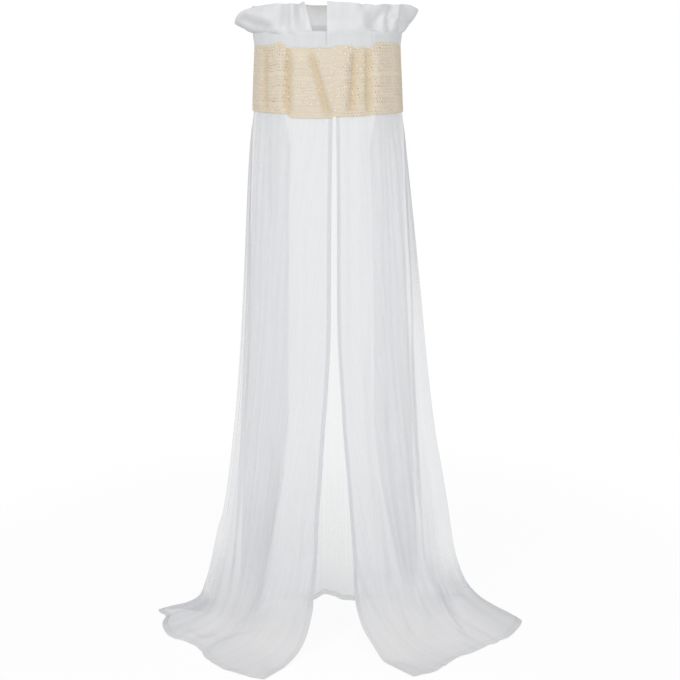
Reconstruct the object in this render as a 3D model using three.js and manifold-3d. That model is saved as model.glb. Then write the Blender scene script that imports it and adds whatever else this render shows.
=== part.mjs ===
// Bed crown canopy on a wall bracket. A short arm on a wall plate carries an oval tube
// hoop. The hoop runs through a gathered casing with a ruffle above it and a crochet band
// below it, and a parted drape of sheer voile hangs from the band and spreads on the floor.
// Millimetres, +Z up. The origin is the middle of the wall plate's back face, the wall is
// the plane Y = 0, and the parted front looks towards -Y. Heights count from the hoop.
import * as THREE from "three";
import { mergeVertices } from "three/addons/utils/BufferGeometryUtils.js";
import Module from "manifold-3d";

// Fits between pieces
const slideFit = 0.3; // between metal pieces that slide into each other
const seatGap = 0.3; // between a cloth edge and the seam that it is sewn to
const seamGap = 0.6; // from a side seam's line to each of the two cloth edges along it
const cutOverrun = 1;

// Oval hoop of two bent tubes
const hoopHalfWidth = 164.5;
const hoopHalfDepth = 99;
const hoopStandoff = 71; // from the wall to the rear of the hoop's centre line
const tubeDiameter = 10;
const tubeWall = 1.5;
const tubeStraight = 34; // straight end of each tube, from the middle plane
const tubeSides = 8;
const tubeSteps = 22;

// Rear tee that joins the two tubes to the arm
const teeBarLength = 22;
const spigotReach = 20;
const teeNeckDiameter = 7;
const teeNeckLength = 9;
const teeBossDiameter = 18;
const teeBossLength = 21;
const teeBossBevel = 1.2;
const armSocketDepth = 16;

// Front spigot inside the tube ends
const collarLength = 5;

// Wall plate and arm
const plateWidth = 122;
const plateHeight = 34;
const plateThickness = 3;
const plateHoleSpacing = 92;
const plateHoleDiameter = 5;
const plateSinkDiameter = 9;
const plateBossDiameter = 18;
const plateBossLength = 13;
const armDiameter = 10;
const armBevel = 0.8;
const grubDiameter = 4;
const grubLength = 4;
const grubHexDiameter = 2;
const grubHexDepth = 1.6;
const roundSides = 20;

// Cloth, drawn at the thickness of its gathered layers
const clothThickness = 2;
const casingWall = 1.6;
const casingEase = 0.8; // from the tube to the casing's inside
const casingDrop = 26; // from the hoop's centre to the casing's lower seam
const casingFootWidth = 2.6;
const casingMouth = 3; // slit at the front where the tubes are fed in
const buttonholeDiameter = 8.6;
const casingSteps = 40;

// Ruffle above the casing
const ruffleHeight = 63;
const ruffleMouth = 58; // gap left open at the front, to the left of the middle
const ruffleWaves = 14;
const ruffleWaveDepth = 9;
const ruffleLeanFront = 12; // degrees from upright, at the front and rear
const ruffleLeanLeft = 66; // degrees from upright, at the left side
const ruffleLeanRight = 50; // degrees from upright, at the right side
const ruffleColumns = 72;
const ruffleRows = 5;

// Crochet band below the casing
const bandHeight = 151;
const bandTopOut = 5.5; // how far its upper edge, and the casing's foot, stand outside the hoop
const bandFootOut = 12; // how far its lower edge stands out beyond the hoop
const bandWaves = 14;
const bandWaveDepth = 3;
const bandColumns = 70;
const bandRows = 3;

// Drape of voile
const drapeDrop = 1320; // from the band's lower edge to the floor
const seamSpread = 60; // how far out each side seam runs on its way to the floor
const seamSetback = 10; // and how far back
const slitCentre = 16; // right of the middle
const slitWidth = 7;
const leftReach = 455; // from the hoop's middle to the left tip of the hem
const rightReach = 507; // and to the right tip
const rearReach = 147; // and to the rearmost point of the rear hem
const sideFolds = 6;
const sideFoldDepth = 8;
const rearFolds = 9;
const rearFoldDepth = 5;
const curtainColumns = 35;
const curtainRows = 14;
const rearColumns = 34;
const rearRows = 8;
// How the cloth falls from the band to the floor: share of the drop, share of the spread
const leftFallShares = [
  [0, 0],
  [0.31, 0.112],
  [0.62, 0.251],
  [0.835, 0.433],
  [0.924, 0.539],
  [0.972, 0.7],
  [1, 1],
];
const rightFallShares = [
  [0, 0],
  [0.31, 0.155],
  [0.62, 0.298],
  [0.827, 0.43],
  [0.911, 0.548],
  [0.965, 0.78],
  [1, 1],
];
const slitFallShares = [
  [0, 0],
  [0.42, 0.035],
  [0.66, 0.156],
  [0.83, 0.237],
  [0.945, 0.36],
  [0.985, 0.6],
  [1, 1],
];
const straightSeamShare = 0.14; // how much of a curtain's width eases into its straight seam
const leftFlareShare = 0.2; // how much of its width flares as its outline does
const rightFlareShare = 0.42;
// Hem on the floor, from beside the seam to the slit, as shares of the side's reach
const leftHemShares = [
  [-0.78, 0.1],
  [-1, 0.12],
  [-0.955, 0.03],
  [-0.95, -0.08],
  [-0.892, -0.204],
  [-0.708, -0.352],
  [-0.582, -0.512],
  [-0.332, -0.655],
];
const rightHemShares = [
  [0.76, 0.06],
  [1, -0.012],
  [0.953, -0.091],
  [0.89, -0.175],
  [0.7, -0.335],
  [0.512, -0.523],
  [0.398, -0.568],
];
// Rear hem from one side's seam to the middle: across as shares of the seam's distance out,
// back as shares of the rear reach. The first two points are the deep pleat at the side.
const rearHemShares = [
  [0.6, 0.3],
  [0.93, 0.56],
  [0.62, 0.76],
  [0.19, 0.755],
];
const rearMiddleShares = [-0.046, 1];

// Worked out from the sizes above
const hoopCentreY = -(hoopStandoff + hoopHalfDepth);
const tubeRadius = tubeDiameter / 2;
const boreRadius = tubeRadius - tubeWall;
const spigotRadius = boreRadius * Math.cos(Math.PI / tubeSides) - slideFit; // the bore has flats
const casingRadius = tubeRadius + casingEase + casingWall;
const ruffleBase = casingRadius + seatGap;
const bandTop = -casingDrop - seatGap;
const bandFoot = bandTop - bandHeight;
const drapeTop = bandFoot - seatGap;
const floorLevel = drapeTop - drapeDrop;
const hemLevel = floorLevel + clothThickness / 2;
const bandEdgeX = hoopHalfWidth + bandFootOut;

const wasm = await Module();
wasm.setup();

const canopy = new THREE.Group();

function finish(color, roughness, metalness) {
  return new THREE.MeshStandardMaterial({ color, roughness, metalness, side: THREE.DoubleSide });
}
const whitePaint = finish("#f2f2f0", 0.4, 0);
const zincSteel = finish("#b9bcc0", 0.38, 1);
const whiteVoile = finish("#edeef0", 0.9, 0);
const creamCrochet = finish("#e4d4b9", 0.92, 0);

function addPiece(name, geometry, material) {
  const mesh = new THREE.Mesh(geometry, material);
  mesh.name = name;
  canopy.add(mesh);
  return mesh;
}

// Solids and joins
function solidOf(geometry) {
  const bare = geometry.clone();
  bare.deleteAttribute("normal");
  bare.deleteAttribute("uv");
  const merged = mergeVertices(bare);
  return new wasm.Manifold(
    new wasm.Mesh({
      numProp: 3,
      vertProperties: merged.attributes.position.array,
      triVerts: new Uint32Array(merged.index.array),
    }),
  );
}

function geometryOf(solid) {
  const mesh = solid.getMesh();
  const geometry = new THREE.BufferGeometry();
  geometry.setAttribute("position", new THREE.BufferAttribute(mesh.vertProperties, mesh.numProp));
  geometry.setIndex(new THREE.BufferAttribute(mesh.triVerts, 1));
  geometry.computeVertexNormals();
  return geometry;
}

// A turned piece along +Y from its profile, [distance along, radius] pairs.
function turned(profile, sides = roundSides) {
  const points = profile.map(([along, radius]) => new THREE.Vector2(radius, along));
  return new THREE.LatheGeometry(points, sides);
}

function rod(radius, from, to, bevel = 0, sides = roundSides) {
  return turned(
    [
      [from, 0],
      [from, radius - bevel],
      [from + bevel, radius],
      [to - bevel, radius],
      [to, radius - bevel],
      [to, 0],
    ].filter(([, r], i, all) => i === 0 || r !== all[i - 1][1] || all[i][0] !== all[i - 1][0]),
    sides,
  );
}

// The hoop's outline in plan, grown outwards, walked from the front middle to the right
function ovalPath(grow) {
  const path = new THREE.Path();
  const across = hoopHalfWidth + grow - tubeStraight;
  const depth = hoopHalfDepth + grow;
  path.moveTo(0, -depth);
  path.lineTo(tubeStraight, -depth);
  path.absellipse(tubeStraight, 0, across, depth, -Math.PI / 2, Math.PI / 2);
  path.lineTo(-tubeStraight, depth);
  path.absellipse(-tubeStraight, 0, across, depth, Math.PI / 2, (3 * Math.PI) / 2);
  path.lineTo(0, -depth);
  return path;
}

// The share of the way round an oval at which a place on its straight front lies.
function frontShare(path, x) {
  const share = x / path.getLength();
  return share < 0 ? 1 + share : share;
}

const rearShare = 0.5; // of the way round, from the front middle to the rear middle

class PlanCurve extends THREE.Curve {
  constructor(path, from, to) {
    super();
    Object.assign(this, { path, from, to });
  }
  getPoint(t, target = new THREE.Vector3()) {
    const p = this.path.getPointAt(THREE.MathUtils.lerp(this.from, this.to, t));
    return target.set(p.x, hoopCentreY + p.y, 0);
  }
}

// A section swept along a level route: the section's x is up and its y is to the left.
function swept(section, curve, steps) {
  return new THREE.ExtrudeGeometry(section, { steps, bevelEnabled: false, extrudePath: curve });
}

function roundSection(radius, sides) {
  const points = [];
  for (let i = 0; i < sides; i++) {
    const angle = (Math.PI * (2 * i + 1)) / sides;
    points.push(new THREE.Vector2(radius * Math.cos(angle), radius * Math.sin(angle)));
  }
  return points;
}

// Hoop tubes, with the plain bore that takes the spigots
function hoopTube(side) {
  const path = ovalPath(0);
  const length = path.getLength();
  const front = (collarLength / 2 + slideFit) / length;
  const rear = rearShare - (teeBarLength / 2 + slideFit) / length;
  const section = new THREE.Shape(roundSection(tubeRadius, tubeSides));
  section.holes.push(new THREE.Path(roundSection(boreRadius, tubeSides)));
  const curve =
    side > 0 ? new PlanCurve(path, front, rear) : new PlanCurve(path, 1 - rear, 1 - front);
  return swept(section, curve, tubeSteps);
}

// Rear tee: a bar between the tubes with a spigot in each, a neck through the casing's
// buttonhole, and a boss bored for the arm with its grub screw below
function rearTee() {
  const bar = turned([
    [-teeBarLength / 2 - spigotReach, 0],
    [-teeBarLength / 2 - spigotReach, spigotRadius],
    [-teeBarLength / 2, spigotRadius],
    [-teeBarLength / 2, tubeRadius],
    [teeBarLength / 2, tubeRadius],
    [teeBarLength / 2, spigotRadius],
    [teeBarLength / 2 + spigotReach, spigotRadius],
    [teeBarLength / 2 + spigotReach, 0],
  ]).rotateZ(-Math.PI / 2);
  const neck = rod(teeNeckDiameter / 2, 0, tubeRadius + teeNeckLength + cutOverrun);
  const boss = rod(teeBossDiameter / 2, 0, teeBossLength, teeBossBevel);
  boss.translate(0, tubeRadius + teeNeckLength, 0);
  const bossEnd = tubeRadius + teeNeckLength + teeBossLength;
  const bore = rod(armDiameter / 2 + slideFit, bossEnd - armSocketDepth, bossEnd + cutOverrun);
  const tapped = rod(grubDiameter / 2 + slideFit, 0, teeBossDiameter);
  tapped.rotateX(-Math.PI / 2).translate(0, bossEnd - armSocketDepth / 2, 0);
  const solid = solidOf(bar).add(solidOf(neck)).add(solidOf(boss));
  return geometryOf(solid.subtract(solidOf(bore)).subtract(solidOf(tapped)));
}

function frontSpigot() {
  return turned([
    [-collarLength / 2 - spigotReach, 0],
    [-collarLength / 2 - spigotReach, spigotRadius],
    [-collarLength / 2, spigotRadius],
    [-collarLength / 2, tubeRadius],
    [collarLength / 2, tubeRadius],
    [collarLength / 2, spigotRadius],
    [collarLength / 2 + spigotReach, spigotRadius],
    [collarLength / 2 + spigotReach, 0],
  ]).rotateZ(-Math.PI / 2);
}

// Wall plate: a stadium of steel with two countersunk holes and a bored boss for the arm
function wallPlate() {
  const end = plateHeight / 2;
  const run = plateWidth / 2 - end;
  const outline = new THREE.Shape();
  outline.moveTo(-run, -end);
  outline.lineTo(run, -end);
  outline.absarc(run, 0, end, -Math.PI / 2, Math.PI / 2);
  outline.lineTo(-run, end);
  outline.absarc(-run, 0, end, Math.PI / 2, (3 * Math.PI) / 2);
  const plate = new THREE.ExtrudeGeometry(outline, {
    depth: plateThickness,
    bevelEnabled: false,
    curveSegments: roundSides / 2,
  }).rotateX(Math.PI / 2);
  const bossEnd = -plateThickness - plateBossLength;
  let solid = solidOf(plate).add(solidOf(rod(plateBossDiameter / 2, bossEnd, -plateThickness / 2)));
  const cuts = [rod(armDiameter / 2 + slideFit, bossEnd - cutOverrun, -plateThickness)];
  for (const side of [-1, 1]) {
    const sink = turned([
      [-plateThickness - cutOverrun, 0],
      [-plateThickness - cutOverrun, plateSinkDiameter / 2 + cutOverrun],
      [-plateThickness / 2, plateHoleDiameter / 2],
      [cutOverrun, plateHoleDiameter / 2],
      [cutOverrun, 0],
    ]);
    cuts.push(sink.translate((side * plateHoleSpacing) / 2, 0, 0));
  }
  const tapped = rod(grubDiameter / 2 + slideFit, 0, plateBossDiameter).rotateX(-Math.PI / 2);
  cuts.push(tapped.translate(0, -plateThickness - plateBossLength / 2, 0));
  for (const cut of cuts) solid = solid.subtract(solidOf(cut));
  return geometryOf(solid);
}

function supportArm() {
  const teeEnd = -hoopStandoff + tubeRadius + teeNeckLength + teeBossLength;
  const from = teeEnd - armSocketDepth + slideFit;
  return rod(armDiameter / 2, from, -plateThickness - slideFit, armBevel);
}

// A grub screw that stands up from below against the arm, with its hexagon socket
function grubScrew() {
  const body = rod(grubDiameter / 2, 0, grubLength);
  const hexagon = rod(grubHexDiameter / 2, -cutOverrun, grubHexDepth, 0, 6);
  return geometryOf(solidOf(body).subtract(solidOf(hexagon))).rotateX(Math.PI / 2);
}

// Casing: a gathered sleeve that falls straight from the tube's outside, slit at the front
function teardrop(radius, foot, footHalfWidth) {
  const points = [];
  const arcPoints = 7;
  const arcDip = Math.PI / 8; // how far the arc runs on below the tube's middle
  for (let i = 0; i < arcPoints; i++) {
    const angle = -arcDip + ((Math.PI + 2 * arcDip) * i) / (arcPoints - 1);
    points.push(new THREE.Vector2(-radius * Math.sin(angle), radius * Math.cos(angle)));
  }
  points.push(new THREE.Vector2(foot, -bandTopOut - footHalfWidth));
  points.push(new THREE.Vector2(foot, -bandTopOut + footHalfWidth));
  return points;
}

function hoopCasing() {
  const path = ovalPath(0);
  const half = casingMouth / 2 / path.getLength();
  const section = new THREE.Shape(teardrop(casingRadius, casingDrop, casingFootWidth / 2));
  const insideFoot = casingDrop - casingWall * 2;
  const inside = teardrop(tubeRadius + casingEase, insideFoot, casingFootWidth / 4);
  section.holes.push(new THREE.Path(inside));
  const sleeve = swept(section, new PlanCurve(path, half, 1 - half), casingSteps);
  const buttonhole = rod(buttonholeDiameter / 2, 0, casingRadius + cutOverrun);
  buttonhole.translate(0, -hoopStandoff, 0);
  return geometryOf(solidOf(sleeve).subtract(solidOf(buttonhole)));
}

// A cloth of even thickness on a grid of mid-surface points: place(across, down) gives the
// point, both from 0 to 1. A ring closes on itself across.
function cloth(columns, rows, place, ring = false) {
  const width = ring ? columns : columns + 1;
  const grid = [];
  for (let j = 0; j <= rows; j++)
    for (let i = 0; i < width; i++) grid.push(place(i / columns, j / rows));
  const at = (i, j) => grid[j * width + (ring ? (i + width) % width : i)];
  const clampColumn = (i) => (ring ? i : THREE.MathUtils.clamp(i, 0, width - 1));
  const positions = [];
  for (const side of [1, -1])
    for (let j = 0; j <= rows; j++)
      for (let i = 0; i < width; i++) {
        const across = at(clampColumn(i + 1), j).clone().sub(at(clampColumn(i - 1), j));
        const down = at(i, Math.min(j + 1, rows)).clone().sub(at(i, Math.max(j - 1, 0)));
        const normal = across.cross(down);
        if (j === 0) normal.z = 0;
        normal.setLength((side * clothThickness) / 2);
        const p = at(i, j).clone().add(normal);
        positions.push(p.x, p.y, Math.max(p.z, floorLevel));
      }
  const index = (side, i, j) => side * width * (rows + 1) + j * width + (ring ? i % width : i);
  const faces = [];
  const quad = (a, b, c, d) => faces.push(a, b, c, a, c, d);
  for (let j = 0; j < rows; j++)
    for (let i = 0; i < columns; i++) {
      quad(index(0, i, j), index(0, i + 1, j), index(0, i + 1, j + 1), index(0, i, j + 1));
      quad(index(1, i, j), index(1, i, j + 1), index(1, i + 1, j + 1), index(1, i + 1, j));
    }
  for (let i = 0; i < columns; i++) {
    quad(index(0, i, 0), index(1, i, 0), index(1, i + 1, 0), index(0, i + 1, 0));
    quad(index(0, i + 1, rows), index(1, i + 1, rows), index(1, i, rows), index(0, i, rows));
  }
  if (!ring)
    for (let j = 0; j < rows; j++) {
      quad(index(0, 0, j), index(0, 0, j + 1), index(1, 0, j + 1), index(1, 0, j));
      const last = columns;
      quad(index(0, last, j), index(1, last, j), index(1, last, j + 1), index(0, last, j + 1));
    }
  const geometry = new THREE.BufferGeometry();
  geometry.setAttribute("position", new THREE.Float32BufferAttribute(positions, 3));
  geometry.setIndex(faces);
  geometry.computeVertexNormals();
  return geometry;
}

function ease(t) {
  return THREE.MathUtils.smoothstep(t, 0, 1);
}

// A point of the hoop's oval with the way that points outwards there.
function onOval(path, share) {
  const wrapped = share - Math.floor(share);
  const p = path.getPointAt(wrapped);
  const tangent = path.getTangentAt(wrapped);
  return { x: p.x, y: p.y, outX: tangent.y, outY: -tangent.x };
}

// Ruffle: a strip that leans out most at the two sides, with waves that deepen to its top
const plainOval = ovalPath(0);
const ruffleFirst = casingMouth / 2 / plainOval.getLength();
const ruffleLast = frontShare(plainOval, -ruffleMouth);

function rufflePoint(across, down) {
  const share = THREE.MathUtils.lerp(ruffleLast, ruffleFirst, across);
  const { x, y, outX, outY } = onOval(plainOval, share);
  const rise = 1 - down;
  const sideways = Math.abs(outX) ** 2;
  const sideLean = outX < 0 ? ruffleLeanLeft : ruffleLeanRight;
  const lean = THREE.MathUtils.degToRad(THREE.MathUtils.lerp(ruffleLeanFront, sideLean, sideways));
  const wave = Math.sin(2 * Math.PI * ruffleWaves * share) * ruffleWaveDepth * ease(rise);
  const out = ruffleHeight * rise * Math.sin(lean * ease(rise)) + wave;
  const up = ruffleHeight * rise * Math.cos(lean * rise);
  return new THREE.Vector3(x + outX * out, hoopCentreY + y + outY * out, ruffleBase + up);
}

// Crochet band: a closed ring that flares a little and takes up the drape's folds
const bandWave = (share) => Math.sin(2 * Math.PI * bandWaves * share) * bandWaveDepth;

function bandPoint(across, down) {
  const share = 1 - across;
  const { x, y, outX, outY } = onOval(plainOval, share);
  const out = THREE.MathUtils.lerp(bandTopOut, bandFootOut, down) + bandWave(share) * ease(down);
  const z = bandTop - bandHeight * down;
  return new THREE.Vector3(x + outX * out, hoopCentreY + y + outY * out, z);
}

// The line of the band's lower edge, which every piece of the drape starts from.
function bandEdge(share) {
  return bandPoint(1 - share, 1).setZ(drapeTop);
}

// Side seams: straight lines from the band to the floor, which the curtains swing about
const seamFootX = bandEdgeX + seamSpread;
function seamFoot(side) {
  return new THREE.Vector3(side * seamFootX, hoopCentreY + seamSetback, hemLevel);
}

// Shifts the first or last point of a cloth beside a seam to leave the seam's gap.
function besideSeam(seamPoint, inner) {
  const away = inner.clone().sub(seamPoint).setZ(0).setLength(seamGap);
  return seamPoint.clone().add(away);
}

function hemCurve(points) {
  return new THREE.CatmullRomCurve3(points, false, "centripetal");
}

// A fall of cloth seen from the side: x is its way out and y its way down.
function fallCurve(shares, reach) {
  return hemCurve(shares.map(([drop, out]) => new THREE.Vector3(out * reach, -drop * drapeDrop, 0)));
}

// Left or right curtain: it falls from the band's edge, side seam to slit, and runs out
// over the floor to the hem. across is 0 at the seam and 1 at the slit.
function curtainSurface(side, reach, hemShares, fallShares, flareShare) {
  const slitX = slitCentre + (side * slitWidth) / 2;
  const seamShare = side > 0 ? 0.25 : 0.75;
  const slitShare = frontShare(plainOval, slitX) + (side > 0 ? 0 : 1);
  const points = hemShares.map(
    ([x, y]) => new THREE.Vector3(x * reach, hoopCentreY + y * reach, hemLevel),
  );
  const hem = hemCurve([seamFoot(side), ...points]);
  const fold = (across) => Math.sin(2 * Math.PI * sideFolds * across) * sideFoldDepth;
  const outer = fallCurve(fallShares, reach);
  const slit = fallCurve(slitFallShares, reach);
  const place = (across, down) => {
    const top = bandEdge(THREE.MathUtils.lerp(seamShare, slitShare, across));
    const foot = hem.getPointAt(across);
    const toSlit = ease(Math.max(across - flareShare, 0) / (1 - flareShare));
    const curve = outer.getPointAt(down).lerp(slit.getPointAt(down), toSlit);
    const fall = -curve.y / drapeDrop;
    const loose = ease(Math.min(across / straightSeamShare, 1));
    const spread = THREE.MathUtils.lerp(fall, curve.x / reach, loose);
    const p = top.clone().lerp(foot, spread);
    p.z = THREE.MathUtils.lerp(drapeTop, hemLevel, fall);
    const away = p.clone().sub(new THREE.Vector3(0, hoopCentreY, p.z)).normalize();
    const depth = fold(across) * ease(down) * loose * (1 - down ** 4);
    return p.addScaledVector(away, depth);
  };
  return (across, down) => {
    const p = place(across, down);
    if (across > 0) return p;
    return besideSeam(p, place(1 / curtainColumns, down));
  };
}

// Rear drape: it hangs from seam to seam round the rear, with a deep pleat at each side.
function rearSurface() {
  const side = (sign) =>
    rearHemShares.map(
      ([x, y]) =>
        new THREE.Vector3(sign * x * seamFootX, hoopCentreY + y * rearReach, hemLevel),
    );
  const middle = new THREE.Vector3(
    rearMiddleShares[0] * seamFootX,
    hoopCentreY + rearMiddleShares[1] * rearReach,
    hemLevel,
  );
  const hem = hemCurve([seamFoot(1), ...side(1), middle, ...side(-1).reverse(), seamFoot(-1)]);
  const place = (across, down) => {
    const top = bandEdge(THREE.MathUtils.lerp(0.25, 0.75, across));
    const p = top.clone().lerp(hem.getPointAt(across), down);
    p.z = THREE.MathUtils.lerp(drapeTop, hemLevel, down);
    const loose = ease(Math.min(Math.min(across, 1 - across) / straightSeamShare, 1));
    const depth = Math.sin(2 * Math.PI * rearFolds * across) * rearFoldDepth;
    p.y += depth * ease(down) * loose;
    return p;
  };
  return (across, down) => {
    const p = place(1 - across, down);
    if (across > 0 && across < 1) return p;
    const inner = across === 0 ? 1 - 1 / rearColumns : 1 / rearColumns;
    return besideSeam(p, place(inner, down));
  };
}

// Metalwork
addPiece("wall_plate", wallPlate(), whitePaint);
addPiece("support_arm", supportArm(), whitePaint);
const tee = addPiece("rear_tee", rearTee(), zincSteel);
tee.position.set(0, -hoopStandoff, 0);
const screwTop = -(armDiameter / 2 + slideFit);
const teeScrew = addPiece("tee_screw", grubScrew(), zincSteel);
const teeSocketMiddle = tubeRadius + teeNeckLength + teeBossLength - armSocketDepth / 2;
teeScrew.position.set(0, -hoopStandoff + teeSocketMiddle, screwTop - grubLength);
const plateScrew = addPiece("plate_screw", grubScrew(), zincSteel);
plateScrew.position.set(0, -plateThickness - plateBossLength / 2, screwTop - grubLength);
addPiece("hoop_left", hoopTube(-1), zincSteel);
addPiece("hoop_right", hoopTube(1), zincSteel);
const spigot = addPiece("front_spigot", frontSpigot(), zincSteel);
spigot.position.set(0, hoopCentreY - hoopHalfDepth, 0);

// Heading
addPiece("hoop_casing", hoopCasing(), whiteVoile);
addPiece("ruffle", cloth(ruffleColumns, ruffleRows, rufflePoint), whiteVoile);
addPiece("lace_band", cloth(bandColumns, bandRows, bandPoint, true), creamCrochet);

// Drape
addPiece("back_drape", cloth(rearColumns, rearRows, rearSurface()), whiteVoile);
const leftPlace = curtainSurface(-1, leftReach, leftHemShares, leftFallShares, leftFlareShare);
const rightFall = [rightHemShares, rightFallShares, rightFlareShare];
const rightPlace = curtainSurface(1, rightReach, ...rightFall);
addPiece("left_curtain", cloth(curtainColumns, curtainRows, leftPlace), whiteVoile);
const mirrored = (across, down) => rightPlace(1 - across, down);
addPiece("right_curtain", cloth(curtainColumns, curtainRows, mirrored), whiteVoile);

export default canopy;
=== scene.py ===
import math

import bpy
import numpy as np
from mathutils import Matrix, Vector


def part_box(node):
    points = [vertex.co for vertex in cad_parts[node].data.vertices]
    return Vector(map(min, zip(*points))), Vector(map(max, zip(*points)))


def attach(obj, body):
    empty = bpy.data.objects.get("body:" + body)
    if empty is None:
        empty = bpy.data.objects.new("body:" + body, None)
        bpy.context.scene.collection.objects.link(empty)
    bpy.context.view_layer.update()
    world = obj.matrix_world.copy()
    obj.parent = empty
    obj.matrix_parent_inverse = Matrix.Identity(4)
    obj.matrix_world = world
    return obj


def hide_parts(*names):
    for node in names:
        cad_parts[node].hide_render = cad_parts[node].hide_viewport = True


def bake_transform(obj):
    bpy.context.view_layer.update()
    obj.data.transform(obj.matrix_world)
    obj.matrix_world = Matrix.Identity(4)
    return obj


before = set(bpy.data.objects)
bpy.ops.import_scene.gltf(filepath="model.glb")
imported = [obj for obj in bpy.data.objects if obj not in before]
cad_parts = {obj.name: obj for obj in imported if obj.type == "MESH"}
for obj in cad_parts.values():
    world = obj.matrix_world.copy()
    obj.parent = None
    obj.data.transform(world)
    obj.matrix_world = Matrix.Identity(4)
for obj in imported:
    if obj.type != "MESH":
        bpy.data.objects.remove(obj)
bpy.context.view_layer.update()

scene = bpy.context.scene
mm = 0.001


# Camera, floor and light

studio = {
    "lens": 64.2,  # mm
    "sensor": 36,  # mm wide
    "pitch": 14.8,  # degrees down
    "distance": 2.9,  # from the hoop's middle
    "height": 0.031,
    "sideStep": 0.0287,
    "photoWidth": 680,  # pixels
    "ambient": 0.6,  # brightness of the white surroundings as light
    "surroundings": "#F7F9FC",
    "floor": "#E6E6E6",
    "floorShade": 0.08,  # how much of the floor's look is lit, so that it keeps the shadow
    "floorRadius": 9,
    "shadeReach": 1.6,  # from the middle to where the floor is plain white
    "lamps": {  # watts, size across, place
        "keyLamp": (37, 1.5, (-1.7, -2.7, 1.1)),
        "fillLamp": (25, 2.2, (2.0, -2.7, 0.4)),
    },
    "aim": (0, -0.2, -0.7),
}


def linear(code):
    values = [int(code[i : i + 2], 16) / 255 for i in (1, 3, 5)]
    return [v / 12.92 if v <= 0.04045 else ((v + 0.055) / 1.055) ** 2.4 for v in values] + [1.0]


def addNode(tree, kind, inputs=None, **settings):  # inputs are numbers, colours, sockets or signals
    node = tree.nodes.new("ShaderNode" + kind)
    for name, value in settings.items():
        setattr(node, name, value)
    for name, value in (inputs or {}).items():
        if isinstance(value, Signal):
            value = value.socket
        if isinstance(value, bpy.types.NodeSocket):
            tree.links.new(value, node.inputs[name])
        else:
            node.inputs[name].default_value = value
    return node


class Signal:  # a number that a shader works out; arithmetic on it adds math nodes
    def __init__(self, socket):
        self.socket = socket

    def math(self, operation, other=0.0, swap=False, clamp=False):
        pair = (other, self) if swap else (self, other)
        node = addNode(self.socket.id_data, "Math", dict(enumerate(pair)),
                       operation=operation, use_clamp=clamp)
        return Signal(node.outputs[0])

    def ramp(self, low, high, start=0.0, end=1.0, **settings):
        node = addNode(self.socket.id_data, "MapRange", {
            "Value": self, "From Min": low, "From Max": high, "To Min": start, "To Max": end}, **settings)
        return Signal(node.outputs[0])

    def __add__(self, other):
        return self.math("ADD", other)

    def __sub__(self, other):
        return self.math("SUBTRACT", other)

    def __rsub__(self, other):
        return self.math("SUBTRACT", other, swap=True)

    def __mul__(self, other):
        return self.math("MULTIPLY", other)


def emptyTree(owner):
    owner.use_nodes = True
    owner.node_tree.nodes.clear()
    return owner.node_tree


def newMaterial(name):
    material = bpy.data.materials.new(name)
    return material, emptyTree(material)


hoopMiddleY = (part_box("hoop_casing")[0].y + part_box("hoop_casing")[1].y) / 2
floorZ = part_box("left_curtain")[0].z

camera = bpy.data.objects.new("camera", bpy.data.cameras.new("camera"))
camera.data.sensor_width = studio["sensor"]
camera.data.lens = studio["lens"]
camera.location = (studio["sideStep"], hoopMiddleY - studio["distance"], studio["height"])
camera.rotation_euler = (math.radians(90 - studio["pitch"]), 0, 0)
scene.collection.objects.link(camera)
scene.camera = camera
scene.view_settings.view_transform = "Standard"
scene.cycles.transparent_max_bounces = 48  # sight passes through many layers of sheer cloth


def plainShader(tree, kind, code, **inputs):
    return addNode(tree, kind, {"Color": linear(code), **inputs}).outputs[0]


def mixShaders(tree, share, first, second):
    return addNode(tree, "MixShader", {"Fac": share, 1: first, 2: second}).outputs[0]


def seenAsBackground(tree):
    path = addNode(tree, "LightPath").outputs
    seen = Signal(path["Is Camera Ray"]).math("MAXIMUM", path["Is Glossy Ray"])
    return seen.math("MAXIMUM", path["Is Transmission Ray"])


scene.world = bpy.data.worlds.new("whiteStudio")
tree = emptyTree(scene.world)
asLight = plainShader(tree, "Background", studio["surroundings"], Strength=studio["ambient"])
asBackdrop = plainShader(tree, "Background", "#FFFFFF", Strength=1.0)
addNode(tree, "OutputWorld",
        {"Surface": mixShaders(tree, seenAsBackground(tree), asLight, asBackdrop)})

bpy.ops.mesh.primitive_circle_add(vertices=96, radius=studio["floorRadius"], fill_type="NGON")
floor = bpy.context.active_object
floor.name = "floor"
floor.location = (0, hoopMiddleY, floorZ - 0.2 * mm)
paper, tree = newMaterial("whitePaperFloor")  # seamless paper: white, and it takes a soft shadow
place = addNode(tree, "TexCoord").outputs["Object"]
away = Signal(addNode(tree, "VectorMath", {0: place}, operation="LENGTH").outputs["Value"])
share = away.ramp(studio["shadeReach"] / 2, studio["shadeReach"], studio["floorShade"], 0.0,
                  interpolation_type="SMOOTHSTEP")
shade = plainShader(tree, "BsdfDiffuse", "#FFFFFF")
glow = plainShader(tree, "Emission", "#FFFFFF", Strength=1.0)
bounce = plainShader(tree, "BsdfDiffuse", studio["floor"])
both = mixShaders(tree, seenAsBackground(tree), bounce, mixShaders(tree, share, glow, shade))
addNode(tree, "OutputMaterial", {"Surface": both})
floor.data.materials.append(paper)

for name, (power, size, place) in studio["lamps"].items():
    lamp = bpy.data.objects.new(name, bpy.data.lights.new(name, "AREA"))
    lamp.data.shape = "DISK"
    lamp.data.energy = power
    lamp.data.size = size
    lamp.location = place
    lamp.rotation_euler = (Vector(studio["aim"]) - Vector(place)).to_track_quat("-Z", "Y").to_euler()
    scene.collection.objects.link(lamp)
print("studio ready")


# Shapes that the cloth follows

def lerp(a, b, t):
    return a + (b - a) * t


def ease(t):
    t = np.clip(t, 0, 1)
    return t * t * (3 - 2 * t)


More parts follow.
